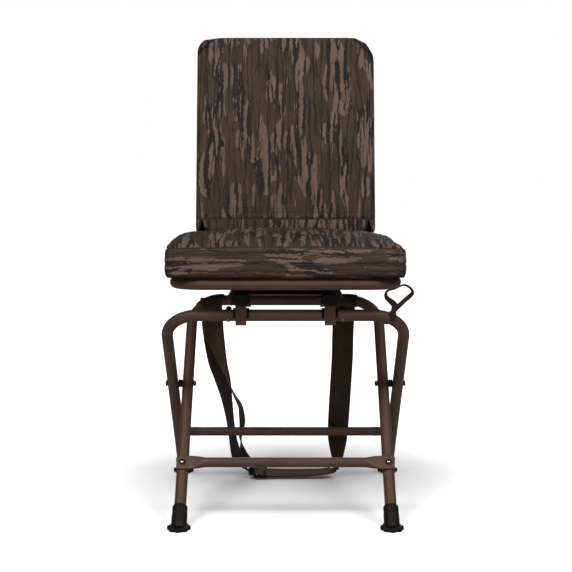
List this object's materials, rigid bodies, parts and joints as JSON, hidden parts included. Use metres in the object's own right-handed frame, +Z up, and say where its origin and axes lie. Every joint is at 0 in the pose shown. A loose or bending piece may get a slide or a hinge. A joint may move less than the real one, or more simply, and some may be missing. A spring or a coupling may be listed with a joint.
{
  "type": "blind swivel chair",
  "caption": "Folding X-frame swivel chair with crossed tube legs, a hooked swivel base, padded camouflage seat, fold-down backrest and a webbing carry strap.",
  "frame": {"origin": "on the floor, on the swivel axis midway between the legs", "axes": "+Z up, +Y to the rear (backrest side), +X to the right as seen from the front; left in a node name is the -X side"},
  "size_m": [0.4926, 0.5158, 0.9455],
  "materials": {
    "powder_coat": "satin brown powder coat over steel tube",
    "rivet_steel": "painted steel rivet",
    "black_fastener": "black oxide, semi gloss",
    "black_steel": "black painted pressed steel",
    "bearing_steel": "bright bearing steel",
    "rubber": "matt moulded rubber",
    "black_plastic": "matt moulded plastic",
    "webbing": "woven flat webbing",
    "pan_board": "dark painted plywood",
    "camo_fabric": "printed woven polyester, bark-like camouflage"
  },
  "bodies": {
    "inner_frame": {"inner_leg_frame": "powder_coat", "front_stretcher": "powder_coat", "front_stretcher_bolt_left": "black_fastener", "front_stretcher_bolt_right": "black_fastener", "front_foot_left": "rubber", "front_foot_right": "rubber", "pivot_bolt_left": "black_fastener", "pivot_bolt_right": "black_fastener", "pivot_nut_left": "black_fastener", "pivot_nut_right": "black_fastener", "pivot_spacer_left": "black_plastic", "pivot_spacer_right": "black_plastic", "carry_strap": "webbing", "strap_slider": "black_plastic"},
    "outer_frame": {"outer_leg_frame": "powder_coat", "rear_stretcher": "powder_coat", "rear_stretcher_bolt_left": "black_fastener", "rear_stretcher_bolt_right": "black_fastener", "rear_foot_left": "rubber", "rear_foot_right": "rubber", "fold_bumper_left": "rubber", "fold_bumper_right": "rubber", "bumper_rivet_left": "rivet_steel", "bumper_rivet_right": "rivet_steel", "keeper_loop": "webbing"},
    "swivel_base": {"base_plate": "powder_coat", "hook_bracket_left": "powder_coat", "hook_bracket_right": "powder_coat", "clip_block_left": "black_plastic", "clip_block_right": "black_plastic", "clip_liner_left": "black_plastic", "clip_liner_right": "black_plastic", "rear_clamp_left": "powder_coat", "rear_clamp_right": "powder_coat", "lower_race": "black_steel", "ball_cage": "bearing_steel"},
    "seat": {"upper_race": "black_steel", "cross_member_front": "powder_coat", "cross_member_rear": "powder_coat", "seat_ring": "powder_coat", "seat_pan": "pan_board", "seat_cushion": "camo_fabric", "back_bracket_left": "black_steel", "back_bracket_right": "black_steel", "back_pivot_bolt_left": "black_fastener", "back_pivot_bolt_right": "black_fastener"},
    "backrest": {"back_frame": "powder_coat", "back_pad": "camo_fabric", "back_tube_plug_left": "black_plastic", "back_tube_plug_right": "black_plastic"}
  },
  "joints": [
    {"name": "leg_scissor", "type": "hinge", "parent": "inner_frame", "child": "outer_frame", "pos_m": [0, 0, 0.23382], "axis": [-1, 0, 0], "range_deg": [0, 78], "deforming": ["carry_strap", "strap_slider"]},
    {"name": "seat_base_lift", "type": "hinge", "parent": "inner_frame", "child": "swivel_base", "pos_m": [0, 0.146, 0.3864], "axis": [-1, 0, 0], "range_deg": [0, 134]},
    {"name": "seat_swivel", "type": "hinge", "parent": "swivel_base", "child": "seat", "pos_m": [0, 0, 0.43], "axis": [0, 0, 1], "continuous": true},
    {"name": "backrest_fold", "type": "hinge", "parent": "seat", "child": "backrest", "pos_m": [0, 0.204, 0.545], "axis": [1, 0, 0], "range_deg": [0, 91]}
  ],
  "couplings": [
    {"joint": "seat_base_lift", "follows": "leg_scissor", "ratio": 1.71}
  ]
}
